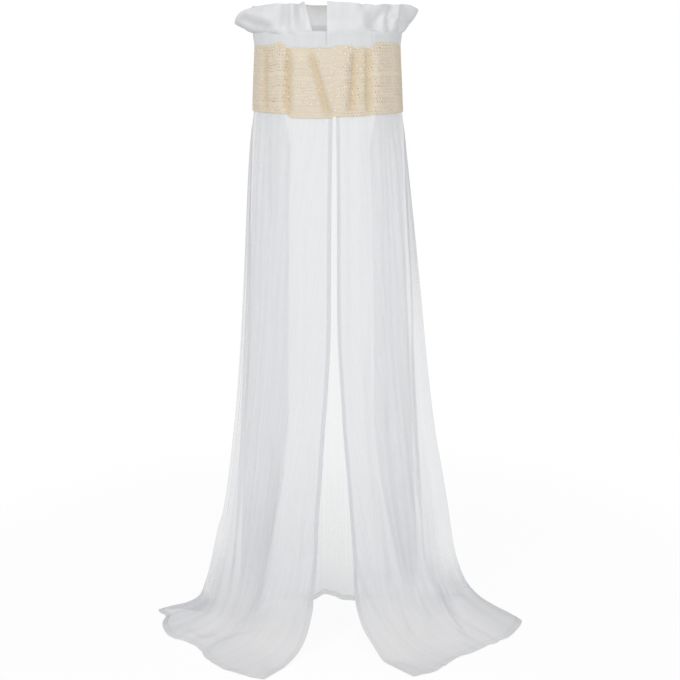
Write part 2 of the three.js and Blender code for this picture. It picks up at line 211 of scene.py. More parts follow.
def between(x, low, high):
    return ease((x - low) / (high - low))


def wander(x, seed, cells=509):  # smooth uneven line through seeded values from -1 to 1
    values = np.random.default_rng(seed).uniform(-1, 1, cells)
    cell = np.floor(x).astype(int)
    return lerp(values[cell % cells], values[(cell + 1) % cells], ease(x - cell))


def wander2(x, y, seed, cells=251):  # the same over a surface
    values = np.random.default_rng(seed).uniform(-1, 1, (cells, cells))
    x, y = np.broadcast_arrays(x, y)
    i, j = np.floor(x).astype(int), np.floor(y).astype(int)
    near, far = [lerp(values[i % cells, row % cells], values[(i + 1) % cells, row % cells], ease(x - i))
                 for row in (j, j + 1)]
    return lerp(near, far, ease(y - j))


def smoothLine(points, steps=60):  # centripetal Catmull-Rom through the points; knots count 0, 1, 2...
    p = np.array(points, float)
    p = np.vstack([2 * p[0] - p[1], p, 2 * p[-1] - p[-2]])
    gap = np.sqrt(np.linalg.norm(np.diff(p, axis=0), axis=1))
    line = []
    t = np.linspace(0, 1, steps, endpoint=False)[:, None]
    for k in range(len(p) - 3):
        a, b, c, d = p[k : k + 4]
        g0, g1, g2 = gap[k : k + 3]
        start = ((b - a) / g0 - (c - a) / (g0 + g1) + (c - b) / g1) * g1
        end = ((c - b) / g1 - (d - b) / (g1 + g2) + (d - c) / g2) * g1
        line.append(b + start * t + (3 * (c - b) - 2 * start - end) * t**2
                    + (2 * (b - c) + start + end) * t**3)
    line.append(p[-2:-1])
    return np.vstack(line), np.arange(steps * (len(p) - 3) + 1) / steps


def alongLine(line):
    return np.concatenate([[0], np.cumsum(np.linalg.norm(np.diff(line, axis=0), axis=1))])


def onLine(line, at, where):
    return np.stack([np.interp(where, at, line[:, k]) for k in range(line.shape[1])], -1)


def unit(vectors):
    return vectors / np.linalg.norm(vectors, axis=-1, keepdims=True)


hoop = {
    "halfWidth": 164.5 * mm,
    "halfDepth": 99 * mm,
    "straight": 34 * mm,  # half of each straight stretch, front and rear
}

# The oval from the front middle to the right and round, flat
turn = np.linspace(-math.pi / 2, math.pi / 2, 360)
bend = np.stack([hoop["straight"] + (hoop["halfWidth"] - hoop["straight"]) * np.cos(turn),
                 hoop["halfDepth"] * np.sin(turn)], 1)
front = (0, -hoop["halfDepth"])
oval = np.vstack([front, bend, -bend, front])
ovalAlong = alongLine(oval)
girth = ovalAlong[-1]
ovalTangent = np.gradient(oval, ovalAlong, axis=0)
ovalTangent[0] = ovalTangent[-1] = (1, 0)


def onHoop(share, out=0.0):  # x, y at a share of the way round, moved outwards
    at = (share % 1.0) * girth
    t = unit(onLine(ovalTangent, ovalAlong, at))
    return onLine(oval, ovalAlong, at) + np.stack([t[..., 1], -t[..., 0]], -1) * np.asarray(out)[..., None]


def shareAt(x):  # the share at which the front of the oval crosses x, below 0 on the left
    half = slice(0, len(oval) // 4) if x >= 0 else slice(len(oval) * 3 // 4, None)
    order = np.argsort(oval[half, 0])
    share = float(np.interp(x, oval[half, 0][order], ovalAlong[half][order])) / girth
    return share if x >= 0 else share - 1


def inRoom(plan, z):  # from a plan that starts at the hoop's middle
    return np.stack(np.broadcast_arrays(plan[..., 0], plan[..., 1] + hoopMiddleY, z), -1)


def hoopPoint(share, out, z):
    return inRoom(onHoop(share, out), z)


def inPicture(points):  # where the camera sees the points, in pixels of the photo
    pitch = math.radians(studio["pitch"])
    x = points[..., 0] - studio["sideStep"]
    y = points[..., 1] - (hoopMiddleY - studio["distance"])
    z = points[..., 2] - studio["height"]
    middle = studio["photoWidth"] / 2
    away = y * math.cos(pitch) - z * math.sin(pitch)
    scale = studio["lens"] / studio["sensor"] * studio["photoWidth"] / away
    return middle + x * scale, middle - (y * math.sin(pitch) + z * math.cos(pitch)) * scale


# Relief in metres. A fold is its depth in mm, how many pixels wide it is on either side, and the
# pixels that it runs through in the photo. Depths below 0 are hollows. It fades towards both ends.
def photoFolds(points, folds):
    px, py = inPicture(points)
    relief = np.zeros(px.shape)
    for depth, left, right, line in folds:
        line = smoothLine(line, 4)[0]
        along = alongLine(line)
        nearest, side, reach = np.full(px.shape, 1e9), np.zeros(px.shape), np.zeros(px.shape)
        for start, step, past in zip(line[:-1], np.diff(line, axis=0), along):
            length = np.hypot(*step)
            s = np.clip(((px - start[0]) * step[0] + (py - start[1]) * step[1]) / length**2, 0, 1)
            dx, dy = px - start[0] - s * step[0], py - start[1] - s * step[1]
            away = np.hypot(dx, dy)
            closer = away < nearest
            nearest = np.where(closer, away, nearest)
            side = np.where(closer, dx * step[1] - dy * step[0], side)
            reach = np.where(closer, past + s * length, reach)
        share = reach / along[-1]
        fade = ease(share / 0.22) * ease((1 - share) / 0.18)
        relief += depth * mm * np.exp(-(nearest / np.where(side > 0, right, left)) ** 2) * fade
    return relief


def addMesh(name, points, faces, material, smooth=True):
    mesh = bpy.data.meshes.new(name)
    mesh.from_pydata(points, [], faces)
    mesh.polygons.foreach_set("use_smooth", [smooth] * len(mesh.polygons))
    mesh.materials.append(material)
    piece = bpy.data.objects.new(name, mesh)
    scene.collection.objects.link(piece)
    return piece


# Cloth as a grid of points, with its flat coordinates in metres and further values at each point
def clothMesh(name, points, flat, material, **values):
    rows, columns = points.shape[:2]
    index = np.arange(rows * columns).reshape(rows, columns)
    faces = np.stack([index[:-1, :-1], index[1:, :-1], index[1:, 1:], index[:-1, 1:]], -1)
    piece = addMesh(name, points.reshape(-1, 3).tolist(), faces.reshape(-1, 4).tolist(), material)
    mesh = piece.data
    corner = np.zeros(len(mesh.loops), np.int32)
    mesh.loops.foreach_get("vertex_index", corner)
    layer = mesh.uv_layers.new(name="flat")
    layer.data.foreach_set("uv", flat.reshape(-1, 2)[corner].astype(np.float32).ravel())
    for key, value in values.items():
        held = mesh.attributes.new(key, "FLOAT", "POINT")
        held.data.foreach_set("value", np.broadcast_to(value, (rows, columns)).astype(np.float32).ravel())
    return piece


def surfaceNormals(points):
    normal = np.cross(np.gradient(points, axis=1), np.gradient(points, axis=0))
    return normal / np.maximum(np.linalg.norm(normal, axis=-1, keepdims=True), 1e-9)


crease = {
    "pitch": 7 * mm,
    "length": 0.2,
    "drift": 0.4,  # how far the creases stray sideways, in pitches
    "driftSize": (0.3, 0.09),  # down and across the cloth
}


def crinkles(flat, seed):  # fine creases that run down the cloth, from -1 to 1
    u, v = flat[..., 0], flat[..., 1]
    drift = wander2(v / crease["driftSize"][0], u / crease["driftSize"][1], seed) * crease["drift"]
    fine = wander2(u / crease["pitch"] + drift, v / crease["length"], seed + 1)
    finer = wander2(u / (crease["pitch"] * 0.47), v / (crease["length"] * 0.6), seed + 2)
    return 0.7 * fine + 0.4 * finer


def threadMesh(name, paths, radius, sides, material):  # tubes along (points, outward directions)
    verts, faces = [], []
    turn = np.linspace(0, 2 * math.pi, sides, endpoint=False)[:, None]
    for points, out in paths:
        forward = unit(np.gradient(points, axis=0))
        across = unit(np.cross(forward, out))
        up = np.cross(across, forward)
        ring = points[:, None] + radius * (across[:, None] * np.cos(turn) + up[:, None] * np.sin(turn))
        first = sum(len(v) for v in verts)
        verts.append(ring.reshape(-1, 3))
        index = first + np.arange(len(points) * sides).reshape(-1, sides)
        after = np.roll(index, -1, axis=1)
        faces += np.stack([index[:-1], after[:-1], after[1:], index[1:]], -1).reshape(-1, 4).tolist()
        faces += [index[0][::-1].tolist(), index[-1].tolist()]
    return addMesh(name, np.vstack(verts).tolist(), faces, material)


# Materials

def mixColours(tree, share, first, second):
    first, second = [linear(c) if isinstance(c, str) else c for c in (first, second)]
    mix = addNode(tree, "Mix", {"Factor": share, 6: first, 7: second}, data_type="RGBA")
    return mix.outputs[2]


def attribute(tree, name):
    return Signal(addNode(tree, "Attribute", attribute_name=name).outputs["Fac"])


def flatCoordinates(tree):
    flat = addNode(tree, "UVMap", uv_map="flat").outputs[0]
    parts = addNode(tree, "SeparateXYZ", {0: flat}).outputs
    return flat, Signal(parts["X"]), Signal(parts["Y"])


def stretched(tree, vector, x, y, detail=2.0):  # noise whose spots are x by y metres
    at = addNode(tree, "VectorMath", {0: vector, 1: (1 / x, 1 / y, 1 / x)}, operation="MULTIPLY")
    noise = addNode(tree, "TexNoise", {"Vector": at.outputs[0], "Scale": 1.0, "Detail": detail})
    return Signal(noise.outputs["Fac"])


def bumped(tree, height, strength, depth):
    return addNode(tree, "Bump",
                   {"Strength": strength, "Distance": depth, "Height": height}).outputs[0]


def showSurface(tree, inputs):
    surface = addNode(tree, "BsdfPrincipled", inputs)
    addNode(tree, "OutputMaterial", {"Surface": surface.outputs[0]})


# A fine grain, by its spots' two sizes, mottles the two colours, unless mottle has sizes for that.
# bump is how strongly and deeply the grain stands out, rougher what it adds to the roughness.
def grainMaterial(name, grain, colours, inputs, mottle=None, bump=None, rougher=None):
    material, tree = newMaterial(name)
    place = addNode(tree, "TexCoord").outputs["Object"]
    grain = stretched(tree, place, *grain)
    mottled = stretched(tree, place, *mottle) if mottle else grain
    inputs = {"Base Color": mixColours(tree, mottled, *colours), **inputs}
    if bump:
        inputs["Normal"] = bumped(tree, grain, *bump)
    if rougher:
        inputs["Roughness"] = grain * rougher + inputs["Roughness"]
    showSurface(tree, inputs)
    return material


voile = {
    "colour": "#E6E7E8",
    # painted shade for the hollows of the fine creases, mixed in where the streaks' relief sinks
    "shade": "#DEDFE2",
    "coverage": 0.40,  # how much of the view one flat layer's threads take
    "threadPitch": 1.5 * mm,  # really 0.45 mm, drawn coarser so that a close view shows it
    "streak": (10 * mm, 380 * mm),
    "streakShare": 0.15,
    "slub": (70 * mm, 3.4 * mm),
    "slubShare": 0.03,
    "weaveShare": 0.035,
    "weaveRelief": 0.12,  # beside the streaks' relief of 1
    "relief": 0.45 * mm,
    "reliefStrength": 0.3,
    "roughness": 0.88,
    "specular": 0.25,
    "deepLayers": (3.0, 8.0),  # cloth lies on cloth, from a little to fully
    "paintedLayerShade": "#DED4C8",  # there a painted shade, warmer, stands in for the shade that cloth casts on cloth
    "layerShadeShare": 0.18,
    "spreadFlat": 0.6,  # and there, on the floor, its creases are pulled out by this much
}
# The heading is the drape's voile again, its colour painted lighter and less blue: a lit copy that makes up
# for the shade its doubled layers cast on each other
headingVoile = {**voile, "colour": "#EEEEEE", "shade": "#E7E7E8", "coverage": 0.52, "streakShare": 0.07,
                "streak": (22 * mm, 90 * mm), "relief": 0.3 * mm, "layerShadeShare": 0.0}


def voileMaterial(name, look):
    # Crinkled cotton voile: open plain weave, washed so that it creases lengthwise. The eye
    # sees soft white, see-through, with fine streaks where the threads bunch, painted darker where they
    # sink.
    material, tree = newMaterial(name)
    flat, u, v = flatCoordinates(tree)
    streak = stretched(tree, flat, *look["streak"])
    slub = stretched(tree, flat, *look["slub"], 1.0)
    turn = 2 * math.pi / look["threadPitch"]
    weave = (u * turn).math("SINE") * (v * turn).math("SINE")
    uneven = streak * look["streakShare"] + slub * look["slubShare"] + weave * look["weaveShare"]
    layer = uneven + (look["coverage"] - (look["streakShare"] + look["slubShare"]) / 2)
    layers = attribute(tree, "layers")
    clear = (1 - layer).math("POWER", layers)
    deep = layers.ramp(*look["deepLayers"])
    # Painted shade: the tint turns to the shade colour where the streaks' relief sinks
    tint = mixColours(tree, streak, look["shade"], look["colour"])
    relief = (streak + weave * look["weaveRelief"]) * (1 - deep * look["spreadFlat"])
    # Where cloth lies thick on cloth its colour takes a painted shade
    showSurface(tree, {
        "Base Color": mixColours(tree, deep * look["layerShadeShare"], tint, look["paintedLayerShade"]),
        "Alpha": clear.math("SUBTRACT", 1.0, swap=True, clamp=True),
        "Normal": bumped(tree, relief, look["reliefStrength"], look["relief"]),
        "Roughness": look["roughness"], "Specular IOR Level": look["specular"]})
    return material


voileCloth = voileMaterial("crinkledCottonVoile", voile)
headingCloth = voileMaterial("gatheredVoileHeading", headingVoile)

# Mercerised cotton sewing thread: white, twisted, a little glossier than the cloth
sewingThread = grainMaterial("whiteSewingThread", (0.6 * mm, 0.6 * mm), ("#D5D7DA", "#E9EAEC"),
                             {"Roughness": 0.6}, bump=(0.4, 0.2 * mm))
print("voile ready")


# Crochet band

band = {
    "top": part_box("lace_band")[1].z,
    "foot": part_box("lace_band")[0].z,
    "topOut": 5.5 * mm,
    "footOut": 12 * mm,
    "columns": 900,
    "rows": 72,
    "joinAt": 16 * mm,  # from the middle, where the ring is closed
    "fullness": 1.08,
    "loose": ((26, 1.5, 2.2 * mm), (61, 2, 0.8 * mm)),  # waves round and down, and how deep
    "seed": 11,
    "shift": [  # mm from the middle, then how far the top and the foot edge stand above their level, mm
        (-178, -1, 3), (-150, 0, 3), (-122, 2, 3), (-110, 8, 3), (-90, 8, 2), (-80, -4, -7), (-20, -5, -8),
        (4, -5, -7), (16, 0, -4), (80, 1, -3), (98, 8, 0), (145, 8, 0), (158, -2, 0), (178, -2, 0)],
    "folds": [
        (-6, 3, 5, [(288, 38), (287, 70), (286, 120)]), (4, 9, 3, [(281, 38), (281, 70), (280, 120)]),
        (3, 4, 8, [(296, 38), (296, 70), (296, 120)]), (-6, 5, 3, [(309, 40), (319, 78), (331, 120)]),
        (4, 3, 9, [(316, 40), (326, 78), (338, 120)]), (-5, 3, 5, [(356, 38), (353, 78), (350, 120)]),
        (4, 8, 3, [(349, 38), (346, 78), (343, 120)]), (-5, 3, 5, [(368, 36), (368, 78), (369, 120)]),
        (3, 5, 7, [(377, 36), (378, 78), (379, 120)]), (-4, 3, 3, [(265, 38), (265, 78), (265, 120)]),
        (2.5, 4, 4, [(395, 38), (396, 78), (398, 120)])],
    "foldShadeColour": "#D8C29C",  # painted shade, warmer, in the folds' hollows: it stands in for light that passes from yarn to yarn inside a fold
    "foldShadeShare": 0.6,
    "foldDepth": 5 * mm,  # from this depth on by the full share
    "ribPitch": 3.15 * mm,
    "stitchPitch": 2.6 * mm,
    "rowPitch": 6.6 * mm,
    # openings: pitch, shift from row to row, slant, half width, half height
    "eyelets": (6.8 * mm, 0.5, 0.25, 2.0 * mm, 1.8 * mm),
    "slants": (5.6 * mm, 0.37, -0.8, 1.1 * mm, 2.7 * mm),
    "patches": [  # mm from the middle where the openwork shows plainly, and how plainly
        (-178, 0.5), (-150, 0.3), (-128, 0.9), (-88, 0.8), (-78, 0.05), (-40, 0.2), (-10, 0.05), (30, 0.1),
        (48, 0.8), (70, 0.6), (92, 0.3), (104, 0.75), (135, 0.45), (155, 0.2), (178, 0.2)],
    "cordRadius": 0.55 * mm,
    "cordPitch": 13.2 * mm,
    "cordLift": 0.2 * mm,
    "cordSteps": 1500,
    "beadPitch": 4.2 * mm,
    "beadHeight": 0.25 * mm,
    "sequins": [(310, 70), (311, 72), (327, 87), (292, 90), (297, 95), (310, 107), (335, 68), (345, 67),
                (352, 72), (348, 78), (346, 74), (340, 112), (350, 112), (300, 60), (321, 66), (337, 97),
                (331, 100), (303, 83), (318, 104), (326, 74), (343, 88), (346, 96), (363, 84), (296, 71),
                (357, 66), (289, 104), (293, 112), (334, 79), (350, 82), (308, 90)],
    # the part of the front, in pixels, with many small sequins, and how many
    "sparkle": (284, 47, 364, 112, 60),
    "otherSequins": 70,
    "sequinRadius": 1.4 * mm,
    "sequinCup": ((1.0, 0.0), (0.6, 0.3 * mm), (0.2, 0.4 * mm)),  # share of the radius, and its lift
    "sequinLift": 1.5 * mm,
    "sequinTilt": 0.25,
}


# A value that a table gives by mm from the middle of the front, even round the rear
def alongFront(share, table, column):
    at = np.array([shareAt(row[0] * mm) for row in table])
    return np.interp((share + 0.5) % 1 - 0.5, at, [row[column] for row in table])


def bandLevel(down):  # how far out and how high the plain band is
    return lerp(band["topOut"], band["footOut"], down), lerp(band["top"], band["foot"], down)


def bandRelief(share, down):
    share, down = np.broadcast_arrays(share, down)
    level = hoopPoint(share, *bandLevel(down))
    front = between(-onHoop(share)[..., 1], 10 * mm, 40 * mm)
    loose = sum(wander2(share * around, down * high, band["seed"] + k) * deep
                for k, (around, high, deep) in enumerate(band["loose"]))
    # The folds of the front are held flatter at the casing, the loose waves too
    pressed = photoFolds(level, band["folds"]) * front * (0.45 + 0.55 * ease(down / 0.25))
    return pressed + loose * (0.4 + 0.6 * down) * (1 - 0.7 * front)


def bandPoint(share, down, proud=0.0):  # the band's face, down from 0 at its top edge to 1 at its foot
    share, down = np.broadcast_arrays(share, down)
    out, level = bandLevel(down)
    out = out + bandRelief(share, down) + proud
    shift = lerp(alongFront(share, band["shift"], 1), alongFront(share, band["shift"], 2), down) * mm
    return hoopPoint(share, out, level + shift)


def bandFoot(share):  # its plan, from the hoop's middle
    return bandPoint(share, 1.0)[..., :2] - (0, hoopMiddleY)


def squared(signal):
    return signal.math("ABSOLUTE").math("POWER", 2.0)


def crochetMaterial():
    # Cotton crochet lace, cream, worked in rows: matt corded yarn, plain ribbed rows between rows
    # of small eyelets and slanted openings. The eye sees warm cream with dotted rows.
    material, tree = newMaterial("creamCottonCrochet")
    flat, u, v = flatCoordinates(tree)
    rib = (v * (2 * math.pi / band["ribPitch"])).math("SINE")
    stitches = addNode(tree, "TexVoronoi", {"Vector": flat, "Scale": 1 / band["stitchPitch"]},
                       voronoi_dimensions="2D")
    stitch = Signal(stitches.outputs["Distance"])
    yarn = stretched(tree, flat, 1.6 * mm, 0.8 * mm)
    patch = stretched(tree, flat, 60 * mm, 30 * mm)
    sway = stretched(tree, flat, 22 * mm, 30 * mm, 1.0) * (7 * mm)  # hand work: no row is quite straight
    aside = stretched(tree, flat, 13 * mm, 11 * mm, 1.0) * (9 * mm)
    rows = (v + sway) * (1 / band["rowPitch"])
    rowIndex = rows.math("FLOOR")
    slanted = rowIndex.math("MODULO", 3.0).math("COMPARE", 2.0)
    plain = rowIndex.math("MODULO", 5.0).math("COMPARE", 3.0)
    offV = (rows.math("FRACT") - 0.5) * band["rowPitch"]

    def opening(pitch, step, slant, wide, tall):  # 0 in a hole and 1 in yarn
        cell = (u + aside) * (1 / pitch) + rowIndex * step
        offU = (cell.math("FRACT") - 0.5) * pitch + offV * slant
        far = squared(offU.math("DIVIDE", wide)) + squared(offV.math("DIVIDE", tall))
        return far.ramp(0.55, 1.2, interpolation_type="SMOOTHSTEP")

    holes = addNode(tree, "Mix", {
        "Factor": slanted, 2: opening(*band["eyelets"]), 3: opening(*band["slants"])}).outputs[0]
    holes = Signal(holes).math("MAXIMUM", plain)
    dropped = stretched(tree, flat, 12 * mm, 16 * mm, 1.0).ramp(0.38, 0.6)  # 0 where a hole is shut
    shown = attribute(tree, "openwork") * dropped
    solid = ((1 - holes) * shown).math("SUBTRACT", 1.0, swap=True, clamp=True)
    tint = mixColours(tree, patch, "#E6DAC6", "#F3ECE1")
    for share, colour in (
            (stitch.math("MULTIPLY", 0.8, clamp=True), "#D9C9AC"),  # between the stitches, where the relief sinks: painted shade
            (yarn * 0.35, "#E3D3BA"),  # between the plies
            # painted shade in the hollows of the band's folds
            (attribute(tree, "folded"), band["foldShadeColour"]),
            (1 - solid, "#C29E6C")):  # in the holes: a painted shade of the crown's inside, seen through them, as the holes stay mostly opaque
        tint = mixColours(tree, share, tint, colour)
    relief = rib * 0.45 + stitch * -1.1 + (solid * 1.3 + yarn * 0.5)
    showSurface(tree, {
        "Base Color": tint, "Roughness": 0.86, "Alpha": solid.math("MAXIMUM", 0.88),
        "Normal": bumped(tree, relief, 0.55, 1.1 * mm), "Specular IOR Level": 0.3})
    return material


def makeSequins(points):
    outward = surfaceNormals(points)
    px, py = inPicture(points)
    facing = points[..., 1] < hoopMiddleY
    draw = np.random.default_rng(21)
    x0, y0, x1, y1, count = band["sparkle"]
    places = band["sequins"] + draw.uniform((x0, y0), (x1, y1), (count, 2)).tolist()
    spots = [np.unravel_index(np.argmin(np.where(facing, np.hypot(px - x, py - y), 1e9)), px.shape)
             for x, y in places]
    fifth = band["columns"] // 5
    spots += [(draw.integers(4, band["rows"] - 4), draw.integers(fifth, fifth * 4))
              for _ in range(band["otherSequins"])]
    verts, faces = [], []
    sides = 12
    turn = np.linspace(0, 2 * math.pi, sides, endpoint=False)
    for i, j in spots:
        fromMiddle = points[i, j] - (0, hoopMiddleY, points[i, j][2])
        out = outward[i, j] if outward[i, j] @ fromMiddle > 0 else -outward[i, j]
        tilt = Vector(out + draw.uniform(-band["sequinTilt"], band["sequinTilt"], 3)).normalized()
        side = tilt.orthogonal().normalized()
        over = tilt.cross(side)
        middle = Vector(points[i, j]) + tilt * band["sequinLift"]
        first = len(verts)
        for share, lift in band["sequinCup"]:
            verts += [middle + (side * math.cos(a) + over * math.sin(a)) * band["sequinRadius"] * share
                      + tilt * lift for a in turn]
        for ring in (first, first + sides):
            for k in range(sides):
                after = (k + 1) % sides
                faces.append((ring + k, ring + after, ring + sides + after, ring + sides + k))
        faces.append(tuple(first + 2 * sides + k for k in range(sides)))
    # Pearl-coated PET sequin: thin cupped disc, bright clean glints over a warm white
    pearl = grainMaterial("pearlSequin", (5 * mm, 5 * mm), ("#FFF3DF", "#FFFAF0"),
                          {"Roughness": 0.16, "Coat Weight": 0.8, "Coat Roughness": 0.05})
    return addMesh("band_sequins", [tuple(v) for v in verts], faces, pearl, smooth=False)


def makeBand():
    length = girth * band["fullness"]
    height = band["top"] - band["foot"]
    start = shareAt(band["joinAt"])
    share = np.linspace(0, 1, band["columns"] + 1)[None, :] + start
    down = np.linspace(0, 1, band["rows"])[:, None]
    points = bandPoint(share, down)
    flat = np.stack(np.broadcast_arrays((share - share[0, 0]) * length, height * (1 - down)), -1)
    openwork = alongFront(share, band["patches"], 1) * np.ones_like(down)
    openwork = openwork * (0.55 + 0.45 * ease(0.5 + 1.5 * wander2(share * 40, down * 6, 17)))
    # how deep each point lies in a fold's hollow, which sets its painted shade
    folded = np.clip(-bandRelief(share, down) / band["foldDepth"], 0, 1) * band["foldShadeShare"]
    lace = clothMesh("crochet_band", points, flat, crochetMaterial(), openwork=openwork, folded=folded)
    # The same yarn as a worked cord: plied cotton, matt, with a painted highlight where it stands proud
    yarn = grainMaterial("creamCottonYarn", (1.4 * mm, 1.4 * mm), ("#DDCCAC", "#F2E8D6"),
                         {"Roughness": 0.85, "Specular IOR Level": 0.3}, bump=(0.5, 0.4 * mm))
    paths = []
    for row in np.append(np.arange(0, height, band["cordPitch"]), height):
        along = np.linspace(0, 1, band["cordSteps"]) + start
        bead = np.sin(2 * math.pi * along * girth / band["beadPitch"])
        line = bandPoint(along, 1 - row / height, band["cordLift"] + band["beadHeight"] * bead)
        paths.append((line, hoopPoint(along, 1.0, 0.0) - hoopPoint(along, 0.0, 0.0)))
    cords = threadMesh("crochet_row_cords", paths, band["cordRadius"], 5, yarn)
    sequins = makeSequins(points)
    for piece in (lace, cords, sequins):
        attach(piece, "crown")
    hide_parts("lace_band")


makeBand()
print("band ready")


# Drape

drape = {
    "top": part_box("back_drape")[1].z + 6 * mm,  # its edge is sewn inside the band's foot
    "hem": floorZ + 0.8 * mm,
    "fall": 1320,  # mm from the floor to the band, in the tables' heights
    "seamFoot": (236.5 * mm, 10 * mm),
    "slitTop": {-1: 12.5 * mm, 1: 19.5 * mm},
    "crowding": 2.1,  # how the top is gathered closer towards the seam
    "tuck": (3.2, 1.0),  # mm inside the band's face, behind the band and below it
    "reach": (0.3, 0.25),  # m from band to hem, about, along the flare's outline and the slit
    "gathers": (15, (8, 0.9), (4, 1.6)),  # how many, how unevenly spaced, how they drift on the way down
    "gatherDepth": (1.0, 1.5),  # mm at the top and low down
    "broadDepth": 4 * mm,
    "ripples": ((26, 2.5 * mm), (61, 1.2 * mm)),  # how many lift the hem off the floor, and how far
    "blend": (0.17, -0.9),  # m from the middle and high: the line down which the cloth bends
    "columns": 568,
    "rows": 170,
    "hemRows": 6,
    "floorHem": 15 * mm,
    "slitHemColumns": 10,  # about 10 mm
    "hemLift": 0.5 * mm,
    "crinkleDepth": 0.22 * mm,
    "covered": 0.013,  # the share of the fall that the band still covers
    "hemLayers": 2.2,  # of the slit's rolled hem
    # mm above the floor, then how many layers the cloth is worth there, as it gathers towards it
    "frontLayers": [(0, 9), (90, 7.5), (140, 5), (190, 2.9), (240, 2.15), (340, 1.78), (520, 1.68),
                    (900, 1.78), (1320, 1.95)],
    "rearLayers": [(0, 1.2), (100, 0.85), (280, 0.62), (390, 0.48), (900, 0.45)],
}
stitch = {
    "pitch": 3.2 * mm,
    "length": 2.3 * mm,
    "radius": 0.22 * mm,
    "proud": 0.28 * mm,
    "sunk": 0.1 * mm,  # where it enters the cloth
}
leftCurtain = {
    "name": "left_curtain",
    "hem": [(-355, 46), (-455, 56), (-453, 42), (-433, 18), (-434, -30), (-406, -93), (-362, -119),
            (-322, -160), (-306, -196), (-272, -238), (-224, -274), (-153, -302)],
    # mm above the floor, then the share of the way out to the hem, between band and hem
    "outer": [(1205, 0.045), (913, 0.112), (656, 0.184), (496, 0.251), (331, 0.339), (217, 0.433),
              (101, 0.539), (58, 0.61), (34, 0.727), (14, 0.9)],
    "slit": [(1126, 0.02), (890, 0.03), (768, 0.042), (646, 0.084), (565, 0.122), (447, 0.168),
             (347, 0.215), (225, 0.247), (141, 0.309), (61, 0.415), (31, 0.525), (14, 0.72)],
    "outerTo": 0.2,  # from the seam to here the cloth flares as its outline does
    "thin": (0.4, 0.56),  # from the seam to here it is thinner, by these shares
    "thinShares": [(0, 0.5), (62, 0.45), (84, 0.1), (140, 0.13), (200, 0.2), (340, 0.26),
                   (900, 0.34), (1060, 0.6), (1320, 0.85)],
    "thinLower": 34 * mm,  # how much lower they hold in the rear part, from the seam to the flare's tip
    "rearPart": (0.26, 0.32),  # where that part ends
    "cut": (0.28, 0.70),  # m wide at the top and at the hem
    "folds": [
        (-9, 12, 7, [(270, 430), (264, 520), (256, 580), (244, 622)]),
        (8, 5, 15, [(285, 440), (278, 520), (271, 580), (258, 606), (238, 628)]),
        (5, 3, 8, [(274, 588), (263, 608), (251, 618), (240, 626), (230, 632)]),
        (6, 9, 3, [(204, 653), (222, 644), (240, 637), (262, 631), (284, 620)]),
        (-3, 4, 4, [(233, 530), (231, 570), (226, 600), (212, 614)]),
        (4, 8, 8, [(222, 510), (216, 570), (204, 598)]),
        (5, 5, 2.5, [(184, 628), (196, 637), (207, 640), (220, 636)]),
        (4, 7, 6, [(168, 611), (190, 617), (220, 620)]),
        (-13, 16, 9, [(315, 590), (306, 630), (292, 652), (274, 668), (262, 676)]),
        (3, 4, 3, [(300, 500), (297, 560), (288, 612)]),
        (-3, 3, 3, [(307, 480), (304, 560), (296, 612)]),
        (-3, 3, 3, [(312, 430), (311, 520), (306, 580)]),
        (-2.5, 4, 3, [(266, 122), (267, 160), (269, 230)]),
        (2.5, 5, 5, [(299, 130), (300, 260), (301, 420)]),
        (-2, 4, 4, [(309, 140), (308, 300), (305, 460)])],
    "seed": 30,
}
